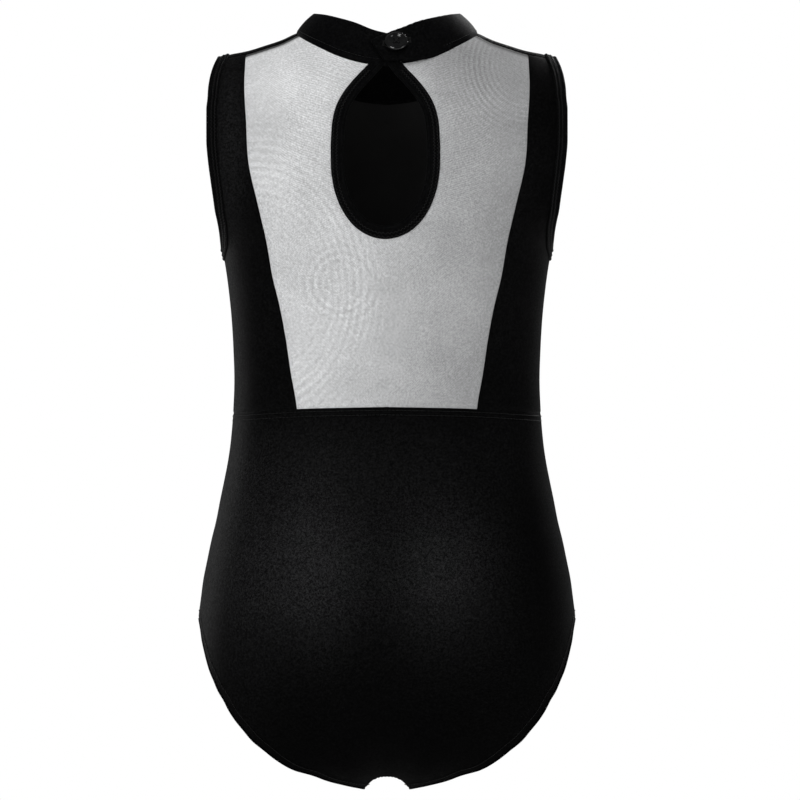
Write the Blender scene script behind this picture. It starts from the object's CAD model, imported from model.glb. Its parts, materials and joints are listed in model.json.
import json
import math

import bpy
import numpy as np
from mathutils import Matrix, Vector
from mathutils.geometry import delaunay_2d_cdt
from mathutils.kdtree import KDTree

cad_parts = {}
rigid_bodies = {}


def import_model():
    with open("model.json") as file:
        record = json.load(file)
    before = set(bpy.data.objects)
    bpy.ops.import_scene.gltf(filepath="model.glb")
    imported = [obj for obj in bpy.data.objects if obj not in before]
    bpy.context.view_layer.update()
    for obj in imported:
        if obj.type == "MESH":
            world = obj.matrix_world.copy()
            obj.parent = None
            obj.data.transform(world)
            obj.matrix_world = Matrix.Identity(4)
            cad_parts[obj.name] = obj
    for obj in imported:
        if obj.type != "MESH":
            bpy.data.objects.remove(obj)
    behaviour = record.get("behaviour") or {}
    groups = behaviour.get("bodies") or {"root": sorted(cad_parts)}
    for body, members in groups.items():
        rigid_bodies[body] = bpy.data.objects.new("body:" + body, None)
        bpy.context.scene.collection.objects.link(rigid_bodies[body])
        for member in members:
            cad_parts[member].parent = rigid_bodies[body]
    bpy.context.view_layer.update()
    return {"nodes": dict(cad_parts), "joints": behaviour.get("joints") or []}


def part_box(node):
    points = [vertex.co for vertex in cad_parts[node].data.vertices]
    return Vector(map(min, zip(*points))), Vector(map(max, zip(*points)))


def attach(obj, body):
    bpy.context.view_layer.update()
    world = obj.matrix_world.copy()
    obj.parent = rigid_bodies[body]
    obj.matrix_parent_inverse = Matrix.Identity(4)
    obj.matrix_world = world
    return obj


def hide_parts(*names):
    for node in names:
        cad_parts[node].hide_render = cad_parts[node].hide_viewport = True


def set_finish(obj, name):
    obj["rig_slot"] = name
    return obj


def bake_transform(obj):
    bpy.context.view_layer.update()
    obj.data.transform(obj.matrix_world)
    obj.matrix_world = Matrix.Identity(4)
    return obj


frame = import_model()

# ---------------------------------------------------------------------------
# The garment's form, in millimetres. +Z up, front -Y, back +Y.
# ---------------------------------------------------------------------------
fabric = 0.8
binding_width = 8.4
hem_width = 7.6
leg_top_z = 111.5
armhole_top_z, armhole_bottom_z = 481.5, 357.0
crotch_half_width, crotch_arch, front_crotch_rise = 15.0, 8.6, 4.0
shoulder_seam_arc = 14.0
fullness = 0.3
keyhole_centre = 1.0
HALF_PI = math.pi / 2


class Curve:
    """A smooth monotone curve through (x, y) pairs."""

    def __init__(self, pairs):
        x = np.array([p[0] for p in pairs], float)
        y = np.array([p[1] for p in pairs], float)
        h = np.diff(x)
        d = np.diff(y) / h
        m = np.zeros(len(x))
        m[0], m[-1] = d[0], d[-1]
        for i in range(1, len(x) - 1):
            if d[i - 1] * d[i] > 0:
                w1, w2 = 2 * h[i] + h[i - 1], h[i] + 2 * h[i - 1]
                m[i] = (w1 + w2) / (w1 / d[i - 1] + w2 / d[i])
        self.x, self.y, self.h, self.m = x, y, h, m

    def __call__(self, v):
        v = np.asarray(v, float)
        x, y, h, m = self.x, self.y, self.h, self.m
        i = np.clip(np.searchsorted(x, v, side="right") - 1, 0, len(x) - 2)
        t = np.clip((v - x[i]) / h[i], 0.0, 1.0)
        out = (
            y[i] * (1 + 2 * t) * (1 - t) ** 2 + m[i] * h[i] * t * (1 - t) ** 2
            + y[i + 1] * t * t * (3 - 2 * t) + m[i + 1] * h[i] * t * t * (t - 1)
        )
        out = np.where(v < x[0], y[0] + m[0] * (v - x[0]), out)
        return np.where(v > x[-1], y[-1] + m[-1] * (v - x[-1]), out)


half_width = Curve([
    (0, 127.0), (60, 126.8), (92, 125.9), (105, 124.9), (111.5, 124.3), (125, 122.6),
    (138, 120.9), (151, 118.3), (164, 115.6), (177, 112.4), (191, 109.7), (204, 107.0),
    (217, 104.5), (230, 102.7), (250, 101.1), (270, 100.4), (290, 101.0), (309, 102.1),
    (329, 104.1), (345, 106.3), (350, 107.2), (357, 108.8), (363, 112.0), (370, 117.0),
    (380, 126.0), (389, 132.0), (402, 138.0), (415, 141.0), (450, 142.0), (540, 142.0),
])
back_depth = Curve([
    (-4, 12), (0, 19), (3, 27), (6, 34), (10, 42), (20, 56), (35, 70), (60, 84), (85, 90),
    (110, 91), (140, 88), (180, 80), (220, 70), (260, 63), (300, 61), (340, 65), (380, 71),
    (410, 73.5), (435, 72), (455, 67), (470, 60), (482, 54), (500, 49), (540, 44),
])
front_depth = Curve([
    (0, 14), (5, 22), (12, 33), (25, 46), (50, 60), (80, 70), (110, 76), (150, 79),
    (200, 78), (250, 74), (290, 72), (330, 76), (370, 80), (400, 79), (425, 73), (445, 65),
    (465, 58), (482, 53), (500, 49), (540, 44),
])
ridge_height = Curve([
    (0, 526), (20, 521), (40, 511.5), (50, 505), (60, 498.6), (68, 494.4), (80, 490.3),
    (92, 486.6), (104, 484.2), (112, 481.5), (118, 478), (130, 469), (145, 456),
])
ridge_radius = Curve([(0, 62), (40, 58), (60, 54), (112, 50), (145, 48)])
armhole_outline = Curve([
    (350, 107.0), (357, 108.5), (369, 110.2), (375.5, 111.5), (382, 112.9), (389, 113.9),
    (402, 115.8), (415, 117.5), (428, 118.5), (448, 118.5), (455, 117.8), (461, 117.5),
    (468, 116.5), (474.5, 114.8), (481.5, 111.8), (485, 110.0),
])
leg_outline = Curve([
    (0, 16.0), (0.7, 20.0), (2.6, 28.4), (5.3, 38.9), (9.2, 49.5), (12.5, 61.1),
    (19, 72.6), (26, 81.5), (32, 88.8), (39, 94.7), (45.5, 100.0), (52, 104.3),
    (59, 107.9), (65, 111.5), (72, 114.5), (78.5, 117.2), (85, 119.1), (92, 120.8),
    (98, 122.1), (105, 123.1), (111.5, 124.3),
])
front_leg_outline = Curve([
    (4.0, 15.0), (8, 18.5), (16, 24), (26, 31), (40, 42), (55, 56), (70, 73), (84, 92),
    (96, 109), (104, 118), (109, 122.4), (111.5, 124.3),
])
mesh_half_width = Curve([
    (240, 58.2), (254, 59.7), (275, 63.4), (296, 66.5), (317.5, 70.5), (338.6, 75.6),
    (359.7, 79.2), (380.8, 84.0), (391.4, 86.5), (402, 89.1), (412.5, 91.1), (423, 92.1),
    (439, 92.7), (454.7, 93.7), (465.3, 94.0), (476, 93.6), (500, 92.5),
])
back_neckline = Curve([(0, 477.6), (12.8, 478.9), (30, 483.4), (45, 489.9), (58.7, 497.2), (62, 500)])
front_neckline = Curve([(0, 455), (15, 456.6), (30, 461.4), (42, 469), (51, 479), (57, 490), (60, 499), (62, 506)])
waist_seam = Curve([(0, 252.1), (50, 251.1), (100, 248.2), (130, 245.5)])
collar_top = Curve([(0, 498.6), (8.6, 500.6), (20.5, 505.7), (32, 508.9), (40, 510.8), (47, 511.6)])
keyhole_inner = Curve([
    (371.0, 0.0), (371.6, 4.2), (373, 8.2), (376, 13.2), (382, 18.6), (390, 23.0), (400, 26.0),
    (410, 27.3), (420.4, 27.5), (435, 26.9), (442, 25.9), (447.5, 24.3), (453, 21.5),
    (460, 16.6), (466, 11.4), (472.6, 5.2), (478.4, 1.5), (492, 0.9),
])
cleft_depth = Curve([(0, 22), (8.6, 20), (20, 15), (40, 9), (80, 4), (120, 1.2), (150, 0.0), (160, 0.0)])
cleft_width = Curve([(0, 15), (20, 16), (60, 22), (150, 30)])


# ---------------------------------------------------------------------------
# vector helpers on arrays of points
# ---------------------------------------------------------------------------
def unit(v):
    v = np.asarray(v, float)
    return v / np.maximum(np.linalg.norm(v, axis=-1, keepdims=True), 1e-12)


def stack(x, y, z):
    return np.stack(np.broadcast_arrays(x, y, z), -1).astype(float)


def cleft(x, z):
    zz = np.maximum(z, 0.0)
    return np.where(z > 150, 0.0, cleft_depth(zz) * np.exp(-((x / cleft_width(zz)) ** 2)))


def section(side, x, z):
    s2 = (x / half_width(z)) ** 2
    d = np.where(side > 0, back_depth(z), front_depth(z))
    drop = (ridge_height(np.abs(x)) - z) / ridge_radius(np.abs(x))
    f2 = np.where(drop >= 1, 1.0, 2 * drop - drop * drop)
    return d * d * (1 - s2) * (1 + fullness * s2) ** 2 * f2


def level(p, side):
    y = p[..., 1] + np.where(side > 0, cleft(p[..., 0], p[..., 2]), 0.0)
    return y * y - section(side, p[..., 0], p[..., 2])


def gradient(p):
    side = np.where(p[..., 1] >= 0, 1, -1)
    e = 0.02
    gx = (level(p + [e, 0, 0], side) - level(p - [e, 0, 0], side)) / (2 * e)
    gz = (level(p + [0, 0, e], side) - level(p - [0, 0, e], side)) / (2 * e)
    gy = 2 * (p[..., 1] + np.where(side > 0, cleft(p[..., 0], p[..., 2]), 0.0))
    return np.stack([gx, gy, gz], -1)


def normal(p):
    return unit(gradient(np.asarray(p, float)))


def project(p):
    q = np.array(p, float)
    for _ in range(12):
        side = np.where(q[..., 1] >= 0, 1, -1)
        v = level(q, side)
        g = gradient(q)
        n2 = np.maximum((g ** 2).sum(-1), 1e-9)
        k = v / n2
        step = np.abs(k) * np.sqrt(n2)
        k = np.where(step > 3.0, k * 3.0 / np.maximum(step, 1e-9), k)
        q = q - g * k[..., None]
    return q


def depth(side, x, z):
    y = np.sqrt(np.maximum(section(side, x, z), 0.0))
    return np.where(np.asarray(side) > 0, y - cleft(x, z), -y)


def form(theta, lam):
    theta, lam = np.asarray(theta, float), np.asarray(lam, float)
    side = np.where(lam >= 0, 1, -1)
    a = np.abs(lam)
    x = 110 * np.sin(theta)
    z = np.full_like(x, 400.0)
    for _ in range(26):
        r = ridge_radius(np.abs(x))
        d = np.where(a < r * HALF_PI, r * (1 - np.cos(np.minimum(a / r, HALF_PI))), r + a - r * HALF_PI)
        z = ridge_height(np.abs(x)) - d
        x = half_width(z) * np.sin(theta)
    y = np.cos(theta) * (1 + fullness * np.sin(theta) ** 2)
    y = y * np.where(side > 0, back_depth(z), front_depth(z))
    r = ridge_radius(np.abs(x))
    y = np.where(a < r * HALF_PI, y * np.sin(np.minimum(a / r, HALF_PI)), y)
    y = np.where(side > 0, y - cleft(x, z), -y)
    return stack(x, y, z)


def arc_at(x, z):
    r = ridge_radius(np.abs(x))
    d = ridge_height(np.abs(x)) - z
    return np.where(d < r, r * np.arccos(np.clip(1 - d / r, -1, 1)), d - r + r * HALF_PI)


def theta_at(x, z):
    return np.arcsin(np.clip(x / half_width(z), -1, 1))


def resample(points, n, closed):
    p = np.asarray(points, float)
    if closed:
        p = np.vstack([p, p[:1]])
    s = np.concatenate([[0], np.cumsum(np.linalg.norm(np.diff(p, axis=0), axis=1))])
    t = s[-1] * np.arange(n) / (n if closed else n - 1)
    return np.stack([np.interp(t, s, p[:, k]) for k in range(p.shape[1])], -1)


def length_of(points, closed=False):
    p = np.asarray(points, float)
    if closed:
        p = np.vstack([p, p[:1]])
    return float(np.linalg.norm(np.diff(p, axis=0), axis=1).sum())


# ---------------------------------------------------------------------------
# edges of the garment
# ---------------------------------------------------------------------------
def armhole_loop(count):
    a = 2 * np.pi * np.arange(600) / 600
    z = (armhole_top_z + armhole_bottom_z) / 2 - (armhole_top_z - armhole_bottom_z) / 2 * np.cos(a)
    x = armhole_outline(z)
    side = np.where(np.sin(a) >= 0, 1, -1)
    return resample(stack(x, depth(side, x, z), z), count, True)


def leg_back():
    z = leg_top_z * (1 + np.cos(np.pi * np.arange(301) / 300)) / 2
    x = np.where(z < leg_top_z - 0.01, leg_outline(z), half_width(z))
    x = np.minimum(x, half_width(z))
    return stack(x, depth(1, x, z), z)


def leg_front():
    t = np.arange(301) / 300
    low = 4.0
    z = np.where(t < 0.5, leg_top_z - (leg_top_z - low) * t * t, leg_top_z - (leg_top_z - low) * (0.25 + (t - 0.5) * 1.5))
    x = np.where(z < leg_top_z - 0.01, front_leg_outline(z), half_width(z))
    x = np.minimum(x, half_width(z))
    return stack(x, depth(-1, x, z), z)


def arch_back(u):
    x = crotch_half_width * u
    z = crotch_arch * (1 - np.abs(u) ** 2.7)
    return stack(x, depth(1, x, z), z)


def arch_front(u):
    x = crotch_half_width * u
    z = front_crotch_rise + crotch_arch * (1 - np.abs(u) ** 2.7)
    return stack(x, depth(-1, x, z), z)


def crotch_point(u, v):
    v = np.asarray(v, float)[..., None]
    return arch_back(u) * (1 - v) + arch_front(u) * v


def crotch_normal(u, v):
    e = 0.01
    du = crotch_point(u + e, v) - crotch_point(u - e, v)
    dv = crotch_point(u, np.asarray(v) + e) - crotch_point(u, np.asarray(v) - e)
    n = unit(np.cross(du, dv))
    return n * np.where(n[..., 2:3] < 0, 1.0, -1.0)


def leg_loop(count):
    under = crotch_point(np.ones(29), np.arange(1, 30) / 30)
    pts = np.vstack([leg_back(), under, leg_front()[::-1]])
    keep = [0]
    for i in range(1, len(pts)):
        if np.linalg.norm(pts[i] - pts[keep[-1]]) > 0.05:
            keep.append(i)
    pts = pts[keep]
    if np.linalg.norm(pts[0] - pts[-1]) < 0.05:
        pts = pts[:-1]
    return resample(pts, count, True)


edge_back_y = float(crotch_point(np.array(1.0), 0.0)[1])
edge_front_y = float(crotch_point(np.array(1.0), 1.0)[1])


def on_gusset(p):
    return (
        (np.abs(np.abs(p[..., 0]) - crotch_half_width) < 0.3)
        & (p[..., 1] >= edge_front_y - 0.05) & (p[..., 1] <= edge_back_y + 0.05) & (p[..., 2] < 8)
    )


def gusset_v(p):
    return np.clip((edge_back_y - p[..., 1]) / (edge_back_y - edge_front_y), 0, 1)


def frames(loop, outward_from, closed=True, smooth=0):
    """Normals of the cloth and the in-surface direction away from the opening."""
    n = normal(loop)
    g = on_gusset(loop)
    if g.any():
        n[g] = crotch_normal(np.sign(loop[g, 0]), gusset_v(loop[g]))
    for _ in range(smooth):
        n = unit(n + 0.6 * np.roll(n, 1, 0) + 0.6 * np.roll(n, -1, 0))
    if closed:
        t = unit(np.roll(loop, -1, 0) - np.roll(loop, 1, 0))
    else:
        t = unit(np.gradient(loop, axis=0))
    m = unit(np.cross(n, t))
    away = np.asarray(outward_from(loop[0])) - loop[0]
    if m[0] @ away > 0:
        m = -m
    nn = unit(np.cross(m, t))
    nn = nn * np.where((nn * n).sum(-1, keepdims=True) < 0, -1.0, 1.0)
    return m, nn


gusset_u = np.linspace(1.0, 0.0, 121)


def on_form(p, m, n, e):
    """Points e away from the edge along the cloth, and the normals there."""
    e = np.broadcast_to(np.asarray(e, float), p.shape[:-1])
    q = project(p + m * e[..., None])
    nn = normal(q)
    near = np.abs(e) < 0.3
    q = np.where(near[..., None], p + m * e[..., None], q)
    nn = np.where(near[..., None], n, nn)
    g = on_gusset(p) & ~near
    for i in np.nonzero(g)[0]:
        v = float(gusset_v(p[i]))
        line = crotch_point(np.sign(p[i, 0]) * gusset_u, np.full(len(gusset_u), v))
        s = np.concatenate([[0], np.cumsum(np.linalg.norm(np.diff(line, axis=0), axis=1))])
        u = np.sign(p[i, 0]) * np.interp(e[i], s, gusset_u)
        q[i] = crotch_point(np.array(u), v)
        nn[i] = crotch_normal(np.array(u), v)
    return q, nn


def leg_centre(p):
    return [62.0, -4.0, 45.0]


def armhole_centre(p):
    return [p[0] + 20.0, 0.0, (armhole_top_z + armhole_bottom_z) / 2]


def keyhole_line(low, high):
    t = np.arange(401) / 400
    z = low + (high - low) * (1 - np.cos(HALF_PI * t))
    x = keyhole_inner(z)
    a = np.stack([keyhole_centre + x[::-1], z[::-1]], -1)
    b = np.stack([keyhole_centre - x[1:], z[1:]], -1)
    return np.vstack([a, b])


def offset_2d(points, distance):
    t = np.gradient(points, axis=0)
    t = t / np.linalg.norm(t, axis=1, keepdims=True)
    return points + np.stack([-t[:, 1], t[:, 0]], -1) * distance


# ---------------------------------------------------------------------------
# the collar: a doubled band standing on the neck edge
# ---------------------------------------------------------------------------
def neck_edge():
    t = np.arange(81) / 80
    x = 59.9 * np.sin(HALF_PI * t)
    z = back_neckline(x)
    b = stack(x, depth(1, x, z), z)
    x = 59.6 * np.sin(HALF_PI * t)
    z = front_neckline(x)
    return np.vstack([b, stack(x, depth(-1, x, z), z)[::-1]])


def soften(p, rounds):
    for _ in range(rounds):
        q = p.copy()
        q[1:-1] = (p[:-2] + 2 * p[1:-1] + p[2:]) / 4
        p = q
    return p


base_soft = soften(resample(neck_edge(), 61, False), 2)
ra = np.pi * np.arange(241) / 240
rz = np.where(ra < HALF_PI, collar_top(np.abs(47.2 * np.sin(ra))), 481.0 + 30.6 * np.abs(np.sin(ra)) ** 1.6)
rim_soft = soften(resample(stack(47.2 * np.sin(ra), -5.0 + 41.0 * np.cos(ra), rz), 61, False), 3)
mirror_x = np.array([-1.0, 1.0, 1.0])


def full_ring(points):
    """121 points from the front, round one side, the back, and the other side."""
    return np.vstack([(points * mirror_x)[:0:-1], points])


base_ring, rim_ring = full_ring(base_soft), full_ring(rim_soft)


def ring_at(ring, s):
    """s from -1 to 1 round the neck; 0 is the back centre, +X for s > 0."""
    a = (np.mod(np.asarray(s, float) + 1, 2.0)) * 60
    i = np.floor(a).astype(int)
    f = (a - i)[..., None]

    def at(k):
        return ring[np.mod(k, 120)]

    p0, p1, p2, p3 = at(i - 1), at(i), at(i + 1), at(i + 2)
    return 0.5 * (2 * p1 + (p2 - p0) * f + (2 * p0 - 5 * p1 + 4 * p2 - p3) * f * f + (3 * p1 - p0 - 3 * p2 + p3) * f ** 3)


def collar_raw(s, h):
    h = np.asarray(h, float)[..., None]
    a, b = ring_at(base_ring, s), ring_at(rim_ring, s)
    a = a + unit(b - a) * 1.6
    p = a + (b - a) * h
    out = unit(np.stack([p[..., 0], p[..., 1] + 5.0, np.zeros(p.shape[:-1])], -1))
    return p + out * 4.8 * h * (1 - h)


def collar_normal(s, h):
    s, h = np.broadcast_arrays(np.asarray(s, float), np.asarray(h, float))
    a = collar_raw(s + 0.004, h) - collar_raw(s - 0.004, h)
    b = collar_raw(s, h + 0.02) - collar_raw(s, h - 0.02)
    n = unit(np.cross(a, b))
    p = collar_raw(s, h)
    flip = n[..., 0] * p[..., 0] + n[..., 1] * (p[..., 1] + 5) < 0
    return n * np.where(flip, -1.0, 1.0)[..., None]


def s_at_x(x, h):
    x, h = np.broadcast_arrays(np.asarray(x, float), np.asarray(h, float))
    lo, hi = np.full(x.shape, -0.5), np.full(x.shape, 0.5)
    for _ in range(30):
        mid = (lo + hi) / 2
        low = collar_raw(mid, h)[..., 0] < x
        lo, hi = np.where(low, mid, lo), np.where(low, hi, mid)
    return (lo + hi) / 2


def smooth(t):
    t = np.clip(t, 0, 1)
    return t * t * (3 - 2 * t)


def lift(x, h):
    """How far the upper end of the collar rides over the lower one."""
    pulled = np.exp(-(((x + 6.3) / 9.5) ** 2) - (((h - 0.5) * 21.0 / 9.0) ** 2))
    return 2.7 * smooth((x + 41.0) / 31.0) - 0.64 * pulled


# ---------------------------------------------------------------------------
# making objects
# ---------------------------------------------------------------------------
scene = bpy.context.scene


def make(name, verts, faces, material, slot, uvs=None, sharp=50.0):
    """A mesh object from points in millimetres."""
    me = bpy.data.meshes.new(name)
    me.from_pydata((np.asarray(verts) * 0.001).tolist(), [], faces if isinstance(faces, list) else faces.tolist())
    me.validate()
    if uvs is not None:
        layer = me.uv_layers.new(name="cloth")
        loops = np.zeros(len(me.loops), np.int32)
        me.loops.foreach_get("vertex_index", loops)
        layer.data.foreach_set("uv", (np.asarray(uvs)[loops] * 0.1).astype(np.float32).ravel())
    me.polygons.foreach_set("use_smooth", np.ones(len(me.polygons), bool))
    me.set_sharp_from_angle(angle=math.radians(sharp))
    me.materials.append(material)
    ob = bpy.data.objects.new(name, me)
    scene.collection.objects.link(ob)
    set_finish(ob, slot)
    return ob


def inside(poly, x, z):
    """Which of the points lie in a polygon."""
    poly = np.asarray(poly, float)
    out = np.zeros(np.shape(x), bool)
    a = poly
    b = np.roll(poly, -1, 0)
    for (ax, az), (bx, bz) in zip(a, b):
        if az == bz:
            continue
        hit = (az > z) != (bz > z)
        xi = ax + (z - az) * (bx - ax) / (bz - az)
        out ^= hit & (x < xi)
    return out


def triangulate(points, chains):
    """Constrained triangulation of free points and chains of points."""
    verts = [Vector((float(a), float(b))) for a, b in points]
    edges = []
    for chain in chains:
        i0 = len(verts)
        verts += [Vector((float(a), float(b))) for a, b in chain]
        edges += [(i0 + k, i0 + k + 1) for k in range(len(chain) - 1)]
    v, e, f = delaunay_2d_cdt(verts, edges, [], 0, 1e-5, False)[:3]
    return np.array([[p.x, p.y] for p in v]), np.array([t for t in f if len(t) == 3])


def distance_to(points, chains):
    """Distance of each 2-D point from the nearest of densely sampled chains."""
    dense = []
    for c in chains:
        n = max(2, int(length_of(c) / 0.25))
        dense.append(resample(c, n, False))
    dense = np.vstack(dense)
    tree = KDTree(len(dense))
    for i, p in enumerate(dense):
        tree.insert((p[0], p[1], 0.0), i)
    tree.balance()
    return np.array([tree.find((p[0], p[1], 0.0))[2] for p in points])


def boundary_edges(tris):
    e = np.sort(np.vstack([tris[:, [0, 1]], tris[:, [1, 2]], tris[:, [2, 0]]]), 1)
    key, idx, count = np.unique(e[:, 0] * 10000000 + e[:, 1], return_index=True, return_counts=True)
    return e[idx[count == 1]]


def directed_boundary(tris):
    e = np.vstack([tris[:, [0, 1]], tris[:, [1, 2]], tris[:, [2, 0]]])
    key = np.sort(e, 1)
    key = key[:, 0] * 10000000 + key[:, 1]
    _, idx, count = np.unique(key, return_index=True, return_counts=True)
    return e[idx[count == 1]]


def sheet(name, tris, pos, nrm, upper, lower, uv, material, slot, sharp=50.0):
    """A closed thin solid: pos + nrm*upper on one face, pos + nrm*lower on the other."""
    used, inv = np.unique(tris, return_inverse=True)
    t = inv.reshape(tris.shape)
    p, n = pos[used], nrm[used]
    a = p + n * np.broadcast_to(upper, pos.shape[0])[used][:, None]
    b = p + n * np.broadcast_to(lower, pos.shape[0])[used][:, None]
    # the first face points along the normals
    fn = np.cross(a[t[:, 1]] - a[t[:, 0]], a[t[:, 2]] - a[t[:, 0]])
    flip = (fn * n[t[:, 0]]).sum(1) < 0
    t[flip] = t[flip][:, ::-1]
    m = len(p)
    rim = directed_boundary(t)
    faces = t.tolist() + (t[:, ::-1] + m).tolist() + [[int(j), int(i), int(i) + m, int(j) + m] for i, j in rim]
    uvs = np.vstack([uv[used], uv[used]])
    return make(name, np.vstack([a, b]), faces, material, slot, uvs, sharp)


def sweep(name, rings, material, slot, closed, uv_along=None, sharp=50.0):
    """A solid strip through rings[i][k], each ring a closed profile."""
    rings = np.asarray(rings)
    n, k = rings.shape[:2]
    along = np.concatenate([[0], np.cumsum(np.linalg.norm(np.diff(rings[:, 0], axis=0), axis=1))])
    across = np.concatenate([[0], np.cumsum(np.linalg.norm(np.diff(rings[0], axis=0), axis=1))])
    uv = np.stack(np.meshgrid(along, across, indexing="ij"), -1).reshape(-1, 2)
    faces = []
    for i in range(n if closed else n - 1):
        j = (i + 1) % n
        for a in range(k):
            b = (a + 1) % k
            faces.append([i * k + a, i * k + b, j * k + b, j * k + a])
    if not closed:
        faces.append(list(range(k))[::-1])
        faces.append([(n - 1) * k + a for a in range(k)])
    v = rings.reshape(-1, 3)
    # turn the faces outward
    c0, c1 = rings[0].mean(0), rings[0, 0]
    f = faces[0]
    fn = np.cross(v[f[1]] - v[f[0]], v[f[2]] - v[f[1]])
    vol = 0.0
    for f in faces[:: max(1, len(faces) // 4000)]:
        pass
    ob = make(name, v, faces, material, slot, uv, sharp)
    volume_fix(ob)
    return ob


def volume_fix(ob):
    me = ob.data
    co = np.zeros(len(me.vertices) * 3, np.float64)
    me.vertices.foreach_get("co", co.astype(np.float32))
    co = np.array([v.co for v in me.vertices])
    me.calc_loop_triangles()
    t = np.array([x.vertices for x in me.loop_triangles])
    vol = (np.cross(co[t[:, 0]], co[t[:, 1]]) * co[t[:, 2]]).sum()
    if vol < 0:
        me.flip_normals()


def tubes(name, paths, ups, radius, material, slot, sides=5, closed=False, flat=1.0):
    """Round cords along several paths."""
    verts, faces = [], []
    uv = []
    ang = 2 * np.pi * np.arange(sides) / sides
    ca, sa = np.cos(ang), np.sin(ang)
    base = 0
    for path, up in zip(paths, ups):
        path, up = np.asarray(path, float), np.asarray(up, float)
        n = len(path)
        t = unit(np.roll(path, -1, 0) - np.roll(path, 1, 0)) if closed else unit(np.gradient(path, axis=0))
        x = unit(np.cross(t, up))
        y = unit(np.cross(x, t))
        ring = path[:, None] + radius * (x[:, None] * ca[None, :, None] + flat * y[:, None] * sa[None, :, None])
        verts.append(ring.reshape(-1, 3))
        s = np.concatenate([[0], np.cumsum(np.linalg.norm(np.diff(path, axis=0), axis=1))])
        uv.append(np.stack(np.meshgrid(s, ang * radius, indexing="ij"), -1).reshape(-1, 2))
        for i in range(n if closed else n - 1):
            j = (i + 1) % n
            for a in range(sides):
                b = (a + 1) % sides
                faces.append([base + i * sides + a, base + i * sides + b, base + j * sides + b, base + j * sides + a])
        if not closed:
            faces.append([base + a for a in range(sides)][::-1])
            faces.append([base + (n - 1) * sides + a for a in range(sides)])
        base += n * sides
    ob = make(name, np.vstack(verts), faces, material, slot, np.vstack(uv), 70.0)
    volume_fix(ob)
    return ob


class Track:
    """An edge with its frame, to be read at any distance along it."""

    def __init__(self, points, m, n, closed):
        if closed:
            points, m, n = (np.vstack([a, a[:1]]) for a in (points, m, n))
        self.p, self.m, self.n = points, m, n
        self.s = np.concatenate([[0], np.cumsum(np.linalg.norm(np.diff(points, axis=0), axis=1))])
        self.length = self.s[-1]

    def at(self, s):
        s = np.asarray(s, float)
        get = lambda a: np.stack([np.interp(s, self.s, a[:, k]) for k in range(3)], -1)
        return get(self.p), unit(get(self.m)), unit(get(self.n))

    def lay(self, s, e, h):
        p, m, n = self.at(s)
        q, nn = on_form(p, m, n, e)
        return q + nn * np.broadcast_to(h, q.shape[:-1])[..., None], nn


def zigzag(track, e, swing, pitch, height, s0=0.0, s1=None):
    """One continuous zigzag thread whose needle points dip into the cloth."""
    s1 = track.length if s1 is None else s1
    n = int((s1 - s0) / pitch) * 2
    k = np.arange(n * 3 + 1)
    s = s0 + (s1 - s0) * k / (n * 3)
    ph = (k / 3.0) % 2
    tri = np.where(ph < 1, 2 * ph - 1, 3 - 2 * ph)
    dip = np.where(k % 3 == 0, -0.16, 0.08)
    return track.lay(s, e + swing * tri, height + dip)


def dashes(track, e, stitch, gap, height, s0=0.0, s1=None):
    """A straight row of separate stitches."""
    s1 = track.length if s1 is None else s1
    n = int((s1 - s0) / (stitch + gap))
    a = s0 + (s1 - s0) * np.arange(n) / n
    f = np.array([0.0, 0.14, 0.5, 0.86, 1.0])
    s = a[:, None] + f[None, :] * stitch
    dip = np.array([-0.25, 0.02, 0.1, 0.02, -0.25])
    q, nn = track.lay(s.ravel(), np.full(s.size, e), height + np.tile(dip, n))
    return list(q.reshape(n, 5, 3)), list(nn.reshape(n, 5, 3))


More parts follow.
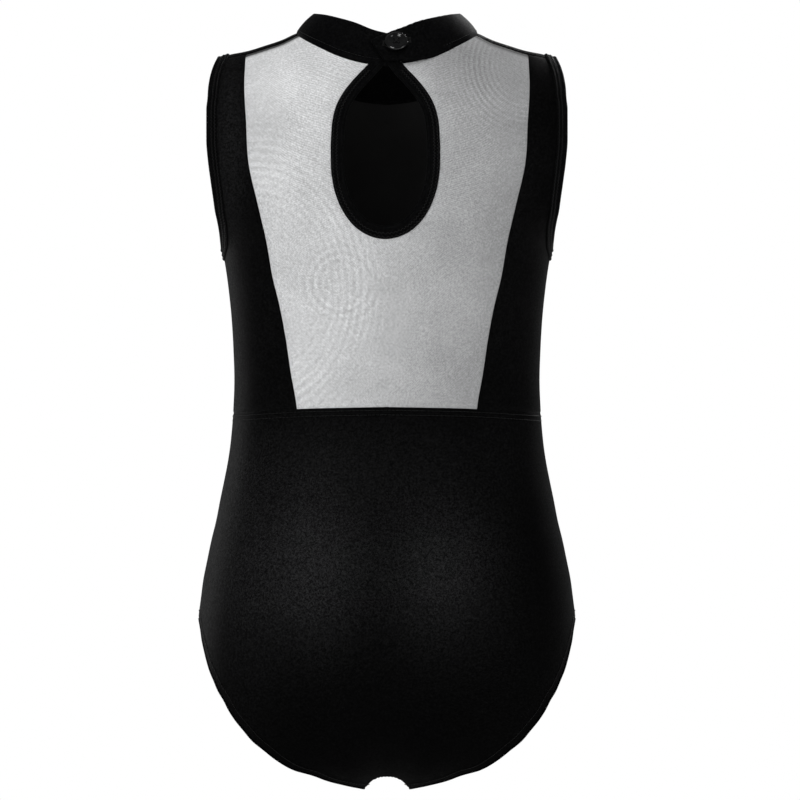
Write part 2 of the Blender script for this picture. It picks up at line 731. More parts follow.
# ---------------------------------------------------------------------------
# materials
# ---------------------------------------------------------------------------
class Nodes:
    def __init__(self, name):
        self.mat = bpy.data.materials.new(name)
        self.mat.use_nodes = True
        self.tree = self.mat.node_tree
        self.tree.nodes.clear()
        self.out = self.add("ShaderNodeOutputMaterial")
        self.bsdf = self.add("ShaderNodeBsdfPrincipled")
        self.link(self.bsdf.outputs[0], self.out.inputs[0])

    def add(self, kind, **values):
        n = self.tree.nodes.new(kind)
        for k, v in values.items():
            setattr(n, k, v)
        return n

    def link(self, a, b):
        self.tree.links.new(a, b)

    def put(self, socket, value):
        if hasattr(value, "default_value") or hasattr(value, "is_output"):
            self.link(value, socket)
        else:
            socket.default_value = value

    def math(self, op, a, b=0.0, c=None):
        n = self.add("ShaderNodeMath", operation=op)
        self.put(n.inputs[0], a)
        self.put(n.inputs[1], b)
        if c is not None:
            self.put(n.inputs[2], c)
        return n.outputs[0]

    def ramp(self, value, stops):
        n = self.add("ShaderNodeValToRGB")
        self.link(value, n.inputs[0])
        e = n.color_ramp.elements
        while len(e) < len(stops):
            e.new(0.5)
        for el, (pos, col) in zip(e, stops):
            el.position = pos
            el.color = (col, col, col, 1) if isinstance(col, (int, float)) else (*col, 1)
        return n.outputs[0]

    def noise(self, vector, scale, detail=3.0, rough=0.5):
        n = self.add("ShaderNodeTexNoise")
        self.link(vector, n.inputs["Vector"])
        n.inputs["Scale"].default_value = scale
        n.inputs["Detail"].default_value = detail
        n.inputs["Roughness"].default_value = rough
        return n.outputs[0]

    def coords(self):
        return self.add("ShaderNodeTexCoord").outputs["Object"]

    def uv(self):
        return self.add("ShaderNodeTexCoord").outputs["UV"]

    def split(self, vector):
        n = self.add("ShaderNodeSeparateXYZ")
        self.link(vector, n.inputs[0])
        return n.outputs

    def mix(self, fac, a, b, kind="MIX"):
        n = self.add("ShaderNodeMix", data_type="RGBA", blend_type=kind)
        self.put(n.inputs[0], fac)
        for s, v in ((n.inputs[6], a), (n.inputs[7], b)):
            if isinstance(v, (int, float)):
                v = (v, v, v, 1)
            elif isinstance(v, tuple) and len(v) == 3:
                v = (*v, 1)
            self.put(s, v)
        return n.outputs[2]

    def bump(self, height, strength, distance, below=None):
        n = self.add("ShaderNodeBump")
        n.inputs["Strength"].default_value = strength
        n.inputs["Distance"].default_value = distance
        self.link(height, n.inputs["Height"])
        if below is not None:
            self.link(below, n.inputs["Normal"])
        return n.outputs[0]


def jersey(g, uv, wale, course):
    """Height of plain knitting: columns of small V-shaped stitches. UV is in cm."""
    x, y, _ = g.split(uv)
    u = g.math("MULTIPLY", x, 10.0 / wale)
    v = g.math("MULTIPLY", y, 10.0 / course)
    a = g.math("ABSOLUTE", g.math("SUBTRACT", g.math("FRACT", u), 0.5))
    slant = g.math("ADD", v, g.math("MULTIPLY", a, 1.1))
    loops = g.math("COSINE", g.math("MULTIPLY", slant, 2 * math.pi))
    ribs = g.math("COSINE", g.math("MULTIPLY", u, 2 * math.pi))
    return g.math("ADD", g.math("MULTIPLY", loops, 0.35), g.math("MULTIPLY", ribs, -0.4))


def knit_material(name, dark, light, sheen, rough, speck, wale=0.55, course=0.42, spec=0.16, bump=0.25, lustre=0.0):
    g = Nodes(name)
    uv, obj = g.uv(), g.coords()
    h = jersey(g, uv, wale, course)
    fine = g.noise(obj, 1500.0, 2.0, 0.6)
    grain = g.noise(obj, 650.0, 2.0, 0.55)
    broad = g.noise(obj, 14.0, 3.0, 0.5)
    speckle = g.math("ADD", g.math("MULTIPLY", fine, 0.55), g.math("MULTIPLY", grain, 0.45))
    speckle = g.ramp(speckle, [(0.40, 0.0), (0.50, 0.35), (0.64, 1.0)])
    base = g.mix(speckle, dark, light)
    tone = g.ramp(broad, [(0.3, 0.78), (0.7, 1.12)])
    base = g.mix(1.0, base, tone, "MULTIPLY")
    rib = g.ramp(g.math("ADD", g.math("MULTIPLY", h, 0.6), 0.5), [(0.0, 0.7), (1.0, 1.1)])
    base = g.mix(1.0, base, rib, "MULTIPLY")
    if lustre:
        px, py, pz = g.split(obj)

        def glow(cx, cz, sx, sz, gain):
            """A soft oval of shine where the taut cloth faces the light."""
            a = g.math("DIVIDE", g.math("SUBTRACT", px, cx), sx)
            b = g.math("DIVIDE", g.math("SUBTRACT", pz, cz), sz)
            q = g.math("ADD", g.math("MULTIPLY", a, a), g.math("MULTIPLY", b, b))
            return g.math("MULTIPLY", g.math("POWER", 2.7183, g.math("MULTIPLY", q, -1.0)), gain)

        total = glow(0.050, 0.150, 0.036, 0.050, 0.95)
        for spot in (
            (-0.034, 0.142, 0.036, 0.046, 0.72), (0.098, 0.150, 0.022, 0.080, 0.55), (0.020, 0.212, 0.085, 0.036, 0.20),
            (0.104, 0.420, 0.012, 0.060, 0.55), (0.086, 0.300, 0.020, 0.060, 0.12), (-0.082, 0.340, 0.020, 0.120, 0.12),
        ):
            total = g.math("ADD", total, glow(*spot))
        behind = g.ramp(g.math("ADD", g.math("MULTIPLY", py, 22.0), 0.5), [(0.3, 0.0), (0.8, 1.0)])
        total = g.math("MULTIPLY", total, behind)
        chest = g.math("ADD", glow(0.020, 0.395, 0.070, 0.050, 0.34), glow(0.010, 0.190, 0.060, 0.075, 0.30))
        total = g.math("ADD", total, g.math("MULTIPLY", g.math("SUBTRACT", 1.0, behind), g.math("ADD", chest, 0.10)))
        total = g.math("MULTIPLY", total, lustre)
        total = g.math("ADD", total, 0.12)
        tone2 = g.add("ShaderNodeVectorMath", operation="SCALE")
        g.link(base, tone2.inputs[0])
        g.link(g.math("MULTIPLY", total, 1.5), tone2.inputs["Scale"])
        base = tone2.outputs[0]
    g.link(base, g.bsdf.inputs["Base Color"])
    r = g.math("ADD", g.math("MULTIPLY", speckle, -0.14), rough + 0.07)
    g.link(r, g.bsdf.inputs["Roughness"])
    g.bsdf.inputs["Specular IOR Level"].default_value = spec
    w = g.math("MULTIPLY", g.math("ADD", g.math("MULTIPLY", speckle, speck), 1.0 - speck / 2), sheen)
    g.link(w, g.bsdf.inputs["Sheen Weight"])
    g.bsdf.inputs["Sheen Roughness"].default_value = 0.42
    g.bsdf.inputs["Sheen Tint"].default_value = (0.92, 0.95, 1.0, 1)
    b1 = g.bump(h, bump, 0.00012)
    b2 = g.bump(g.noise(obj, 900.0, 2.0), 0.22, 0.00012, b1)
    b3 = g.bump(broad, 0.25, 0.0015, b2)
    g.link(b3, g.bsdf.inputs["Normal"])
    return g.mat


def mesh_material():
    g = Nodes("power_net")
    uv, obj = g.uv(), g.coords()
    x, y, _ = g.split(uv)
    # a net of small rounded holes, every other row set half a hole along
    pitch = 0.95
    u = g.math("MULTIPLY", x, 10.0 / pitch)
    v = g.math("MULTIPLY", y, 10.0 / (pitch * 0.866))
    row = g.math("MULTIPLY", g.math("MODULO", g.math("FLOOR", v), 2.0), 0.5)
    du = g.math("SUBTRACT", g.math("FRACT", g.math("ADD", u, row)), 0.5)
    dv = g.math("MULTIPLY", g.math("SUBTRACT", g.math("FRACT", v), 0.5), 0.866)
    r2 = g.math("ADD", g.math("MULTIPLY", du, du), g.math("MULTIPLY", dv, dv))
    d = g.math("SQRT", r2)
    hole = g.ramp(d, [(0.20, 1.0), (0.31, 0.0)])
    px, py, pz = g.split(obj)

    def dist(cx, cz, sx=1.0, sz=1.0):
        a = g.math("MULTIPLY", g.math("SUBTRACT", px, cx), sx)
        b = g.math("MULTIPLY", g.math("SUBTRACT", pz, cz), sz)
        return g.math("SQRT", g.math("ADD", g.math("MULTIPLY", a, a), g.math("MULTIPLY", b, b)))

    def arcs(cx, cz, pitch_mm, near, far, sx=1.0, sz=1.0, grow=0.0):
        """Rings of light and dark, strongest between two distances from a point."""
        q = dist(cx, cz, sx, sz)
        ph = g.math("MULTIPLY", q, 2 * math.pi / (pitch_mm * 0.001))
        if grow:
            ph = g.math("MULTIPLY", g.math("MULTIPLY", q, q), grow)
        wave = g.math("SINE", ph)
        mid, half = (near + far) / 2000.0, (far - near) / 2000.0
        mask = g.math("MAXIMUM", g.math("SUBTRACT", 1.0, g.math("ABSOLUTE", g.math("DIVIDE", g.math("SUBTRACT", q, mid), half))), 0.0)
        return g.math("MULTIPLY", wave, mask)

    moire = g.math("MULTIPLY", arcs(-0.094, 0.478, 3.4, 12.0, 62.0), 1.0)
    second = g.math("MULTIPLY", arcs(0.085, 0.330, 4.6, 30.0, 96.0, 1.0, 0.8), 0.55)
    third = g.math("MULTIPLY", arcs(0.020, 0.505, 3.2, 20.0, 66.0, 1.0, 1.15), 0.6)
    fourth = g.math("MULTIPLY", arcs(0.030, 0.334, 5.2, 2.0, 34.0), 0.5)
    patch = g.ramp(g.noise(obj, 11.0, 2.0), [(0.38, 0.25), (0.62, 1.0)])
    moire = g.math("ADD", g.math("ADD", moire, second), g.math("ADD", third, fourth))
    moire = g.math("MULTIPLY", moire, patch)
    # lighter towards the wearer's left, darker by the right shoulder
    side = g.math("ADD", g.math("MULTIPLY", px, 5.0), 0.5)
    side = g.ramp(side, [(0.0, 0.30), (0.33, 0.41), (0.55, 0.56), (0.80, 0.66), (1.0, 0.63)])
    shoulder = g.ramp(g.math("MULTIPLY", dist(-0.062, 0.500), 10.0), [(0.0, 0.55), (0.55, 1.0)])
    low = g.ramp(g.math("MULTIPLY", g.math("SUBTRACT", pz, 0.25), 5.0), [(0.0, 0.94), (0.35, 1.03), (0.8, 1.0), (1.0, 0.93)])
    cloud = g.ramp(g.noise(obj, 26.0, 3.0, 0.55), [(0.3, 0.90), (0.7, 1.08)])
    grain = g.ramp(g.noise(obj, 900.0, 2.0, 0.7), [(0.32, 0.74), (0.68, 1.22)])
    tone = g.mix(1.0, side, shoulder, "MULTIPLY")
    for layer in (low, cloud, grain):
        tone = g.mix(1.0, tone, layer, "MULTIPLY")
    allowance = g.ramp(g.math("SUBTRACT", y, 1.4), [(0.0, 0.012), (0.46, 0.012), (0.60, 0.55), (0.95, 1.0)])
    tone = g.mix(1.0, tone, allowance, "MULTIPLY")
    wave = g.math("ADD", g.math("MULTIPLY", moire, 0.20), 1.0)
    shade = g.add("ShaderNodeVectorMath", operation="SCALE")
    g.link(tone, shade.inputs[0])
    g.link(wave, shade.inputs["Scale"])
    net = g.mix(g.math("MULTIPLY", hole, 0.34), shade.outputs[0], (0.05, 0.05, 0.052))
    tint = g.mix(1.0, net, (0.985, 0.992, 1.0), "MULTIPLY")
    g.link(tint, g.bsdf.inputs["Base Color"])
    g.bsdf.inputs["Roughness"].default_value = 0.62
    g.bsdf.inputs["Specular IOR Level"].default_value = 0.2
    g.bsdf.inputs["Sheen Weight"].default_value = 0.12
    b1 = g.bump(g.math("SUBTRACT", 1.0, hole), 0.35, 0.0002)
    g.link(b1, g.bsdf.inputs["Normal"])
    return g.mat


def thread_material(name, shade):
    g = Nodes(name)
    uv, obj = g.uv(), g.coords()
    x, y, _ = g.split(uv)
    twist = g.math("SINE", g.math("MULTIPLY", g.math("ADD", x, g.math("MULTIPLY", y, 1.6)), 2 * math.pi * 10 / 0.55))
    f = g.ramp(g.math("ADD", g.math("MULTIPLY", twist, 0.4), 0.5), [(0.0, shade * 0.6), (1.0, shade * 1.6)])
    g.link(f, g.bsdf.inputs["Base Color"])
    g.bsdf.inputs["Roughness"].default_value = 0.42
    g.bsdf.inputs["Specular IOR Level"].default_value = 0.10
    g.bsdf.inputs["Sheen Weight"].default_value = 0.03
    g.link(g.bump(twist, 0.4, 0.00008, None), g.bsdf.inputs["Normal"])
    return g.mat


def button_material():
    g = Nodes("polished_button")
    obj = g.coords()
    n = g.noise(obj, 120.0, 4.0, 0.6)
    scr = g.noise(obj, 2200.0, 2.0, 0.6)
    g.link(g.ramp(n, [(0.3, 0.0010), (0.7, 0.0030)]), g.bsdf.inputs["Base Color"])
    g.link(g.math("ADD", g.math("MULTIPLY", scr, 0.10), 0.05), g.bsdf.inputs["Roughness"])
    g.bsdf.inputs["Specular IOR Level"].default_value = 0.30
    g.bsdf.inputs["Coat Weight"].default_value = 0.30
    g.bsdf.inputs["Coat Roughness"].default_value = 0.06
    g.link(g.bump(n, 0.05, 0.0004), g.bsdf.inputs["Normal"])
    return g.mat


def lining_material():
    g = Nodes("tricot_lining")
    obj = g.coords()
    x, y, z = g.split(obj)
    rows = g.math("SINE", g.math("MULTIPLY", z, 2 * math.pi / 0.0008))
    cols = g.math("SINE", g.math("MULTIPLY", g.math("ADD", x, y), 2 * math.pi / 0.0009))
    h = g.math("MULTIPLY", g.math("ADD", rows, cols), 0.5)
    n = g.noise(obj, 40.0, 3.0)
    g.link(g.mix(n, 0.004, 0.010), g.bsdf.inputs["Base Color"])
    g.bsdf.inputs["Roughness"].default_value = 0.8
    g.bsdf.inputs["Specular IOR Level"].default_value = 0.15
    g.bsdf.inputs["Sheen Weight"].default_value = 0.12
    g.link(g.bump(h, 0.3, 0.0002), g.bsdf.inputs["Normal"])
    return g.mat


def elastic_material():
    g = Nodes("natural_elastic")
    obj = g.coords()
    x, y, z = g.split(obj)
    ribs = g.math("SINE", g.math("MULTIPLY", g.math("ADD", g.math("ADD", x, y), z), 2 * math.pi / 0.0011))
    n = g.noise(obj, 60.0, 3.0)
    g.link(g.mix(n, (0.50, 0.48, 0.43), (0.66, 0.64, 0.58)), g.bsdf.inputs["Base Color"])
    g.bsdf.inputs["Roughness"].default_value = 0.65
    g.link(g.bump(ribs, 0.4, 0.0003), g.bsdf.inputs["Normal"])
    return g.mat


def label_material():
    g = Nodes("satin_label")
    uv, obj = g.uv(), g.coords()
    x, y, z = g.split(obj)
    warp = g.math("SINE", g.math("MULTIPLY", z, 2 * math.pi / 0.00035))
    weft = g.math("SINE", g.math("MULTIPLY", x, 2 * math.pi / 0.0006))
    n = g.noise(obj, 90.0, 3.0)
    g.link(g.mix(n, (0.70, 0.70, 0.68), (0.80, 0.80, 0.78)), g.bsdf.inputs["Base Color"])
    g.bsdf.inputs["Roughness"].default_value = 0.38
    g.bsdf.inputs["Anisotropic"].default_value = 0.5
    g.link(g.bump(g.math("ADD", warp, g.math("MULTIPLY", weft, 0.5)), 0.3, 0.00012), g.bsdf.inputs["Normal"])
    return g.mat


KNIT = knit_material("black_knit", (0.0024, 0.0024, 0.0025), (0.0175, 0.0177, 0.0182), 0.002, 0.50, 0.9, spec=0.014, lustre=1.0)
TRIM = knit_material("black_trim", (0.0006, 0.0006, 0.0007), (0.0042, 0.0043, 0.0045), 0.006, 0.52, 0.8, wale=0.5, course=0.4, spec=0.018)
MESH = mesh_material()
THREAD = thread_material("black_thread", 0.0045)
NECK_THREAD = thread_material("neck_seam_thread", 0.0022)
LINING = lining_material()
ELASTIC = elastic_material()
LABEL = label_material()
BUTTON = button_material()
WHITE_THREAD = thread_material("label_thread", 0.55)


# ---------------------------------------------------------------------------
# cut edges of the panels, in (x, z)
# ---------------------------------------------------------------------------
arm_loop = armhole_loop(220)
arm_m, arm_n = frames(arm_loop, armhole_centre)
leg_lp = leg_loop(420)
leg_m, leg_n = frames(leg_lp, leg_centre, True, 9)
arm_cut, _ = on_form(arm_loop, arm_m, arm_n, 2.2)
leg_cut, _ = on_form(leg_lp, leg_m, leg_n, 1.25)
low_guard = ~on_gusset(leg_lp)


def edge_chain(points, keep, order):
    q = points[keep]
    return q[np.argsort(order(q))]


arm_back = edge_chain(arm_cut, arm_cut[:, 1] >= -1.5, lambda q: q[:, 2])
arm_front = edge_chain(arm_cut, arm_cut[:, 1] <= 14.0, lambda q: q[:, 2])
arm_front_low = arm_cut[arm_cut[:, 1] <= 1.5]
leg_back_cut = edge_chain(leg_cut, (leg_cut[:, 1] >= 0) & low_guard & (leg_cut[:, 0] > 13.5), lambda q: q[:, 0])
leg_front_cut = edge_chain(leg_cut, (leg_cut[:, 1] <= 0) & low_guard & (leg_cut[:, 0] > 13.5), lambda q: q[:, 0])
SU = 85.0


def to_uv(x, z, side):
    return np.stack([theta_at(x, z) * SU, side * arc_at(x, z)], -1)


def mirror2(c):
    return c[::-1] * np.array([-1.0, 1.0])


def densify(c, step):
    return resample(c, max(2, int(length_of(c) / step) + 1), False)


def from_uv(q):
    return form(q[..., 0] / SU, q[..., 1])


xs = np.linspace(-62, 62, 125)
key_cut = offset_2d(resample(keyhole_line(371.0, 478.4), 260, False), 2.4)
key_poly = np.vstack([key_cut, [[key_cut[-1, 0], 520.0], [key_cut[0, 0], 520.0]]])


def arch_line(side, extra):
    u = np.linspace(-0.93, 0.93, 41)
    return np.stack([crotch_half_width * u, (front_crotch_rise if side < 0 else 0.0) + crotch_arch * (1 - np.abs(u) ** 2.7) + extra], -1)


def keep_polygon(leg, side):
    right = leg[:, [0, 2]]
    arch = arch_line(side, 0.25)
    right = right[right[:, 0] > arch[-1, 0] + 0.6]
    top = np.array([[200.0, right[-1, 1]], [200.0, 700.0], [-200.0, 700.0], [-200.0, right[-1, 1]]])
    return np.vstack([arch, right, top, mirror2(right)])


def seams_of(side):
    """Every seam and cut line of one half of the body, as 2-D chains."""
    chains = {}
    if side > 0:
        chains["neck"] = to_uv(xs, back_neckline(np.abs(xs)) - 0.3, 1)
        th = np.linspace(-HALF_PI, HALF_PI, 200) * SU
        chains["shoulder"] = np.stack([th, np.full(200, shoulder_seam_arc)], -1)
        zs = np.linspace(240, 500, 180)
        line = to_uv(mesh_half_width(zs), zs, 1)
        chains["mesh_a"], chains["mesh_b"] = line, mirror2(line)
        chains["key"] = to_uv(key_cut[:, 0], key_cut[:, 1], 1)
        arm = arm_back
        leg = leg_back_cut
    else:
        chains["neck"] = to_uv(xs, front_neckline(np.abs(xs)) - 0.3, -1)
        near = xs[np.abs(xs) > 50]
        both = to_uv(xs, back_neckline(np.abs(xs)) - 0.3, 1)
        chains["neck_b1"], chains["neck_b2"] = both[xs > 55], both[xs < -55]
        arm = arm_front
        leg = leg_front_cut
    wx = np.linspace(-130, 130, 240)
    wz = waist_seam(np.abs(wx))
    lim = half_width(wz)
    ok = np.abs(wx) < lim - 0.2
    w = to_uv(wx[ok], wz[ok], side)
    chains["waist"] = np.vstack([[-HALF_PI * SU, w[0, 1]], w, [HALF_PI * SU, w[-1, 1]]])
    s = np.where(arm[:, 1] >= 0, 1, -1)
    a = np.stack([theta_at(arm[:, 0], arm[:, 2]) * SU, s * arc_at(arm[:, 0], arm[:, 2])], -1)
    a = a[np.argsort(a[:, 1] * side)]
    chains["arm_a"], chains["arm_b"] = a, mirror2(a)
    keep = keep_polygon(leg, side)
    n_arch = 41
    body = keep[: len(keep)]
    low = keep[keep[:, 1] < 150]
    arch = low[:n_arch]
    right = low[n_arch:][low[n_arch:, 0] > 0]
    right = right[right[:, 0] < 190]
    left = right * [-1, 1]
    chain = np.vstack([left[::-1], arch, right])
    q = to_uv(chain[:, 0], chain[:, 1], side)
    q = np.vstack([[-HALF_PI * SU, q[0, 1]], q, [HALF_PI * SU, q[-1, 1]]])
    chains["leg"] = q
    return chains, keep


def arm_limit(arm):
    z = arm[:, 2]
    o = np.argsort(z)
    return lambda v: np.interp(v, z[o], arm[o, 0])


def wrinkle(p, theta, lam, side):
    """Slight unevenness of stretched cloth, in mm."""
    x, z = p[:, 0], p[:, 2]
    a = 0.10 * np.sin(x / 17.0 + 1.3) * np.sin(z / 23.0 + 0.4)
    a += 0.07 * np.sin(x / 9.0 + z / 13.0)
    a += 0.05 * np.sin(x / 31.0 - z / 8.5 + side)
    return a


def build_half(side):
    chains, keep = seams_of(side)
    lines = {k: densify(c, 1.6) for k, c in chains.items()}
    u_lim = HALF_PI * SU
    v0, v1 = (shoulder_seam_arc, 566.0) if side > 0 else (-566.0, shoulder_seam_arc)
    for k in list(lines):
        c = lines[k]
        inside_box = (c[:, 1] >= v0 - 1e-6) & (c[:, 1] <= v1 + 1e-6) & (np.abs(c[:, 0]) <= u_lim + 1e-6)
        lines[k] = c[inside_box]
    lines = {k: c for k, c in lines.items() if len(c) > 1}
    border = [
        densify(np.array([[-u_lim, v0], [u_lim, v0]]), 2.5), densify(np.array([[-u_lim, v1], [u_lim, v1]]), 2.5),
        densify(np.array([[-u_lim, v0], [-u_lim, v1]]), 2.5), densify(np.array([[u_lim, v0], [u_lim, v1]]), 2.5),
    ]
    if side > 0:
        lines.pop("shoulder", None)
    every = list(lines.values()) + border
    step = 3.2
    gu, gv = np.meshgrid(np.arange(-u_lim + 1.6, u_lim - 1.0, step), np.arange(v0 + 1.6, v1 - 1.0, step))
    gu[1::2] += step / 2
    pts = np.stack([gu.ravel(), gv.ravel()], -1)
    pts = pts[np.abs(pts[:, 0]) < u_lim - 1.0]
    free = [pts]
    seams = [lines[k] for k in lines if k not in ("arm_a", "arm_b", "leg", "neck", "neck_b1", "neck_b2")] + border
    rails = []
    for c in seams:
        for off in (0.7, 1.5):
            for sgn in (-1, 1):
                rails.append(offset_2d(c, sgn * off))
    rails = np.vstack(rails)
    rails = rails[(np.abs(rails[:, 0]) < u_lim - 0.3) & (rails[:, 1] > v0 + 0.3) & (rails[:, 1] < v1 - 0.3)]
    d = distance_to(pts, every)
    pts = pts[d > 2.3]
    d = distance_to(rails, every)
    rails = rails[d > 0.55]
    q = np.vstack([pts, rails])
    # drop what lies well outside the cloth
    p = from_uv(q)
    q = q[inside(keep, p[:, 0], p[:, 2]) | (p[:, 2] > 140)]
    uv, tris = triangulate(q, every)
    cen = uv[tris].mean(1)
    c = from_uv(cen)
    x, z = c[:, 0], c[:, 2]
    lam = cen[:, 1]
    neck = np.where(lam >= 0, back_neckline(np.abs(x)), front_neckline(np.abs(x))) - 0.3
    gone = (z > neck) & (np.abs(x) < 61.5)
    arm = arm_limit(arm_back if side > 0 else arm_cut[arm_cut[:, 1] <= 1.0])
    if side < 0:
        arm_up = arm_limit(arm_back)
        lim = np.where(lam >= 0, arm_up(z), arm(z))
    else:
        lim = arm(z)
    low = arm_cut[:, 2].min()
    gone |= (np.abs(x) > lim) & (z > low)
    gone |= ~inside(keep, x, z) & (z < 140)
    if side > 0:
        gone |= inside(key_poly, x, z)
    e1, e2 = uv[tris[:, 1]] - uv[tris[:, 0]], uv[tris[:, 2]] - uv[tris[:, 0]]
    area = np.abs(e1[:, 0] * e2[:, 1] - e1[:, 1] * e2[:, 0])
    gone |= area < 1e-5
    tris, x, z = tris[~gone], x[~gone], z[~gone]
    pos = from_uv(uv)
    nrm = normal(pos)
    # flat side-seam border: keep its normals square to the seam
    edge = np.abs(np.abs(uv[:, 0]) - u_lim) < 1e-4
    pos[edge, 1] = 0.0
    nrm[edge] = unit(nrm[edge] * [1, 0, 1])
    return uv, tris, x, z, pos, nrm


def seam_dip(uv, tris, chains_2d):
    return distance_to(uv, chains_2d)


def panel(name, node, half, mask, material, slot, thickness, gap=0.0):
    uv, tris, x, z, pos, nrm = half
    t = tris[mask]
    rim = boundary_edges(t)
    used = np.unique(t)
    # distance from the panel's own edge, so that seams sink a little
    mids = np.vstack([uv[rim[:, 0]] * (1 - f) + uv[rim[:, 1]] * f for f in (0.0, 0.25, 0.5, 0.75)])
    tree = KDTree(len(mids))
    for i, p in enumerate(mids):
        tree.insert((p[0], p[1], 0.0), i)
    tree.balance()
    d = np.zeros(len(uv))
    for i in used:
        d[i] = tree.find((uv[i, 0], uv[i, 1], 0.0))[2]
    on_rim = np.unique(rim)
    d[on_rim] = 0.0
    dip = 0.42 * np.exp(-((d / 0.95) ** 2))
    w = wrinkle(pos, uv[:, 0], uv[:, 1], 1.0) * np.clip((d - 6.0) / 18.0, 0, 1)
    up = thickness / 2 - dip + w
    lo = -thickness / 2 - dip + w
    theta_mm = uv * [1.0, 1.0]
    ob = sheet(name, t, pos, nrm, up, lo, theta_mm, material, slot)
    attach(ob, "garment")
    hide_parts(node)
    return ob


back = build_half(1)
front = build_half(-1)
bx, bz = back[2], back[3]
fx, fz = front[2], front[3]
below = bz < waist_seam(np.abs(bx))
in_mesh = ~below & (np.abs(bx) < mesh_half_width(bz))
panel("lower_back_cloth", "lower_back_panel", back, below, KNIT, "knit", fabric)
panel("mesh_back_cloth", "mesh_back_panel", back, in_mesh, MESH, "mesh", 0.5)
panel("left_back_side_cloth", "left_back_side_panel", back, ~below & ~in_mesh & (bx > 0), KNIT, "knit", fabric)
panel("right_back_side_cloth", "right_back_side_panel", back, ~below & ~in_mesh & (bx < 0), KNIT, "knit", fabric)
below = fz < waist_seam(np.abs(fx))
panel("front_brief_cloth", "front_brief", front, below, KNIT, "knit", fabric)
panel("front_bodice_cloth", "front_bodice", front, ~below, KNIT, "knit", fabric)

# ---------------------------------------------------------------------------
# the gusset
# ---------------------------------------------------------------------------
gu = np.linspace(-0.93, 0.93, 45)
gv = np.linspace(0.01, 0.99, 34)
GU, GV = np.meshgrid(gu, gv)
gp = crotch_point(GU.ravel(), GV.ravel())
gn = crotch_normal(GU.ravel(), GV.ravel())
idx = np.arange(gp.shape[0]).reshape(GU.shape)
tri = np.vstack([
    np.stack([idx[:-1, :-1], idx[:-1, 1:], idx[1:, 1:]], -1).reshape(-1, 3),
    np.stack([idx[:-1, :-1], idx[1:, 1:], idx[1:, :-1]], -1).reshape(-1, 3),
])
edge_v = np.minimum(GV.ravel() - 0.01, 0.99 - GV.ravel()) * 45.0
dip = 0.4 * np.exp(-((edge_v / 0.95) ** 2))
ob = sheet("gusset_cloth", tri, gp, gn, fabric / 2 - dip, -fabric / 2 - dip, np.stack([GU.ravel() * 15, GV.ravel() * 45], -1), KNIT, "knit")
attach(ob, "garment")
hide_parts("crotch_gusset")

# ---------------------------------------------------------------------------
# bindings, hems and their stitches
# ---------------------------------------------------------------------------
binding_profile = np.array([
    (8.45, 0.48), (8.5, 0.85), (8.2, 1.14), (7.75, 1.16), (7.2, 1.02), (6.6, 1.18), (5.9, 1.24), (5.2, 1.18),
    (4.6, 1.02), (4.0, 1.16), (3.4, 1.14), (2.85, 0.92), (2.45, 1.18), (1.9, 1.46), (1.3, 1.56), (0.7, 1.42),
    (0.2, 1.05), (-0.05, 0.5), (-0.1, 0.0), (-0.05, -0.5), (0.2, -1.0), (0.8, -1.32), (2.0, -1.36), (4.6, -1.26),
    (7.2, -1.2), (8.1, -1.12), (8.4, -0.8), (8.3, -0.46), (5.5, -0.46), (2.4, -0.46), (1.9, 0.0), (2.4, 0.46), (5.5, 0.46),
])


def strip(name, points, m, n, profile, closed, material=TRIM, slot="trim", extra=None, pucker=0.0, pitch=2.2, reach=None):
    rings = []
    count = len(points)
    s = np.concatenate([[0], np.cumsum(np.linalg.norm(np.diff(points, axis=0), axis=1))])
    for e, h in profile:
        q, nn = on_form(points, m, n, e if reach is None else e * reach)
        lifted = np.full(count, float(h))
        if pucker and h > 0.9:
            lifted = lifted + pucker * np.sin(2 * np.pi * s / pitch + e * 1.7)
        if extra is not None:
            lifted = lifted + extra
        rings.append(q + nn * lifted[:, None])
    return sweep(name, np.stack(rings, 1), material, slot, closed)


def mirrored_copy(ob, name, node, body="garment"):
    me = ob.data.copy()
    me.name = name
    me.transform(Matrix.Diagonal((-1, 1, 1, 1)))
    me.flip_normals()
    o = bpy.data.objects.new(name, me)
    scene.collection.objects.link(o)
    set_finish(o, ob["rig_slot"])
    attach(o, body)
    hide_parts(node)
    return o


n_arm = 300
loop = armhole_loop(n_arm)
m, n = frames(loop, armhole_centre)
ob = strip("left_armhole_trim", loop, m, n, binding_profile, True, pucker=0.05)
mirrored_copy(ob, "right_armhole_trim", "right_armhole_binding")
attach(ob, "garment")
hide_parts("left_armhole_binding")
track = Track(loop, m, n, True)
rows = [zigzag(track, e, 0.62, 2.1, 1.24) for e in (4.6, 7.2)]
ob = tubes("left_armhole_zigzag", [r[0] for r in rows], [r[1] for r in rows], 0.2, THREAD, "thread", 5)
mirrored_copy(ob, "right_armhole_zigzag", "right_armhole_stitching")
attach(ob, "garment")
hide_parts("left_armhole_stitching")

